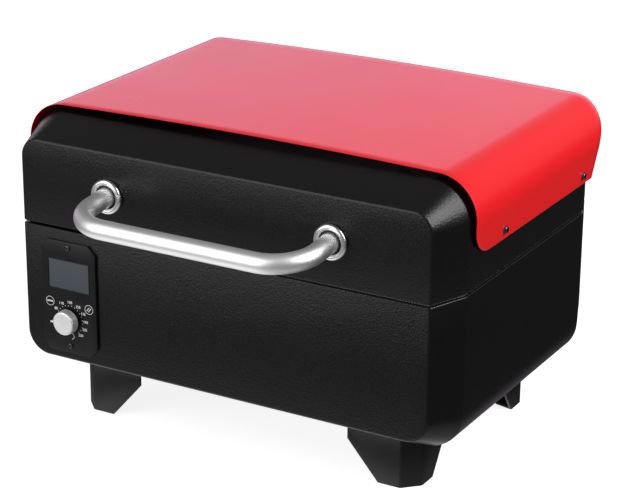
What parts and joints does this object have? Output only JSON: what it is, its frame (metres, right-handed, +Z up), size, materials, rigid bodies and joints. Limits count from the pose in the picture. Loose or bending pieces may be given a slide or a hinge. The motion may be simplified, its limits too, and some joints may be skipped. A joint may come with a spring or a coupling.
{
  "type": "pellet smoker grill",
  "caption": "Portable tabletop pellet grill: bevelled black casing on folded legs, hinged lid with a red sheet cover, tubular front handle and a control panel at the left.",
  "frame": {"origin": "on the ground, under the middle of the whole grill's box", "axes": "+X to the user's right, -Y towards the user at the front, +Z up"},
  "size_m": [0.5134, 0.4557, 0.3366],
  "materials": {
    "casing_paint": "fine-textured black powder coat",
    "leg_paint": "satin black powder coat",
    "cover_paint": "glossy red stoved enamel",
    "handle_steel": "satin brushed stainless steel",
    "trim_steel": "polished stainless steel",
    "knob_metal": "satin anodised aluminium",
    "dark_fixings": "black-oxide steel",
    "zinc_fixings": "bright zinc-plated steel",
    "hinge_steel": "black-painted steel",
    "plate_plastic": "satin black moulding with printed scale",
    "black_plastic": "black moulded plastic",
    "window_plastic": "smoked display window",
    "rocker_plastic": "glossy black plastic",
    "board_green": "green solder mask",
    "black_rubber": "black silicone rubber",
    "gasket_fibre": "woven glass-fibre strip",
    "guard_wire": "plated steel wire",
    "bin_steel": "galvanised sheet steel",
    "liner_steel": "aluminised sheet steel",
    "hot_steel": "heat-stained stainless steel",
    "grate_enamel": "glossy black porcelain enamel",
    "auger_steel": "bare steel",
    "motor_metal": "die-cast gearbox and plated can"
  },
  "bodies": {
    "base": {"base_front_cap": "casing_paint", "base_side_wrap": "casing_paint", "base_rear_cap": "casing_paint", "leg_front_left": "leg_paint", "leg_front_right": "leg_paint", "leg_rear_left": "leg_paint", "leg_rear_right": "leg_paint", "leg_screws": "dark_fixings", "control_plate": "plate_plastic", "control_plate_screws": "dark_fixings", "display_window": "window_plastic", "display_module": "black_plastic", "circuit_board": "board_green", "board_standoffs": "zinc_fixings", "dial_bush": "black_plastic", "power_inlet": "black_plastic", "switch_bezel": "black_plastic", "fan_frame": "black_plastic", "fan_guard": "guard_wire", "hopper_bin": "bin_steel", "hopper_guard": "guard_wire", "hopper_hinge_rod": "zinc_fixings", "auger_tube": "bin_steel", "auger_gearmotor": "motor_metal", "air_duct": "bin_steel", "firepot": "hot_steel", "igniter_rod": "hot_steel", "chamber_liner": "liner_steel", "rack_ledges": "liner_steel", "temperature_probe": "hot_steel", "drawer_rails": "leg_paint", "lid_gasket": "gasket_fibre", "hinge_leaves_base": "hinge_steel", "hinge_pins": "zinc_fixings", "hinge_rivets_base": "zinc_fixings"},
    "lid": {"lid_front_cap": "casing_paint", "lid_side_wrap": "casing_paint", "lid_rear_cap": "casing_paint", "lid_cover": "cover_paint", "cover_spacers": "zinc_fixings", "cover_screws": "dark_fixings", "cover_nuts": "zinc_fixings", "lid_liner": "liner_steel", "handle_tube": "handle_steel", "handle_trim_rings": "trim_steel", "handle_isolators": "black_rubber", "handle_inserts": "zinc_fixings", "handle_screws": "zinc_fixings", "hinge_leaves_lid": "hinge_steel", "hinge_rivets_lid": "zinc_fixings"},
    "hopper_door": {"hopper_lid": "bin_steel"},
    "dial": {"dial_knob": "knob_metal", "dial_shaft": "zinc_fixings"},
    "rocker": {"switch_rocker": "rocker_plastic"},
    "auger": {"auger_screw": "auger_steel"},
    "impeller": {"fan_impeller": "black_plastic"},
    "deflector": {"heat_deflector": "hot_steel"},
    "tray": {"drip_tray": "liner_steel"},
    "grate": {"cooking_grate": "grate_enamel"},
    "drawer": {"grease_drawer": "liner_steel"}
  },
  "joints": [
    {"name": "lid_hinge", "type": "hinge", "parent": "base", "child": "lid", "pos_m": [0, 0.2225, 0.218], "axis": [-1, 0, 0], "range_deg": [0, 85]},
    {"name": "hopper_lid_hinge", "type": "hinge", "parent": "base", "child": "hopper_door", "pos_m": [-0.235, 0.034, 0.2184], "axis": [0, -1, 0], "range_deg": [0, 80]},
    {"name": "knob_turn", "type": "hinge", "parent": "base", "child": "dial", "pos_m": [-0.1775, -0.151, 0.1205], "axis": [0, 1, 0], "range_deg": [0, 270]},
    {"name": "rocker_tilt", "type": "hinge", "parent": "base", "child": "rocker", "pos_m": [-0.158, 0.215, 0.096], "axis": [0, 0, -1], "range_deg": [0, 20]},
    {"name": "auger_spin", "type": "hinge", "parent": "base", "child": "auger", "pos_m": [-0.2, 0.034, 0.106], "axis": [1, 0, 0], "continuous": true},
    {"name": "impeller_spin", "type": "hinge", "parent": "base", "child": "impeller", "pos_m": [-0.19, 0.2, 0.146], "axis": [0, 1, 0], "continuous": true},
    {"name": "deflector_lift", "type": "slide", "parent": "base", "child": "deflector", "axis": [0, 0, 1], "range_m": [0, 0.025]},
    {"name": "tray_lift", "type": "slide", "parent": "deflector", "child": "tray", "axis": [0, 0, 1], "range_m": [0, 0.025]},
    {"name": "grate_lift", "type": "slide", "parent": "tray", "child": "grate", "axis": [0, 0, 1], "range_m": [0, 0.02]},
    {"name": "drawer_slide", "type": "slide", "parent": "base", "child": "drawer", "axis": [0, 1, 0], "range_m": [0, 0.15]}
  ]
}
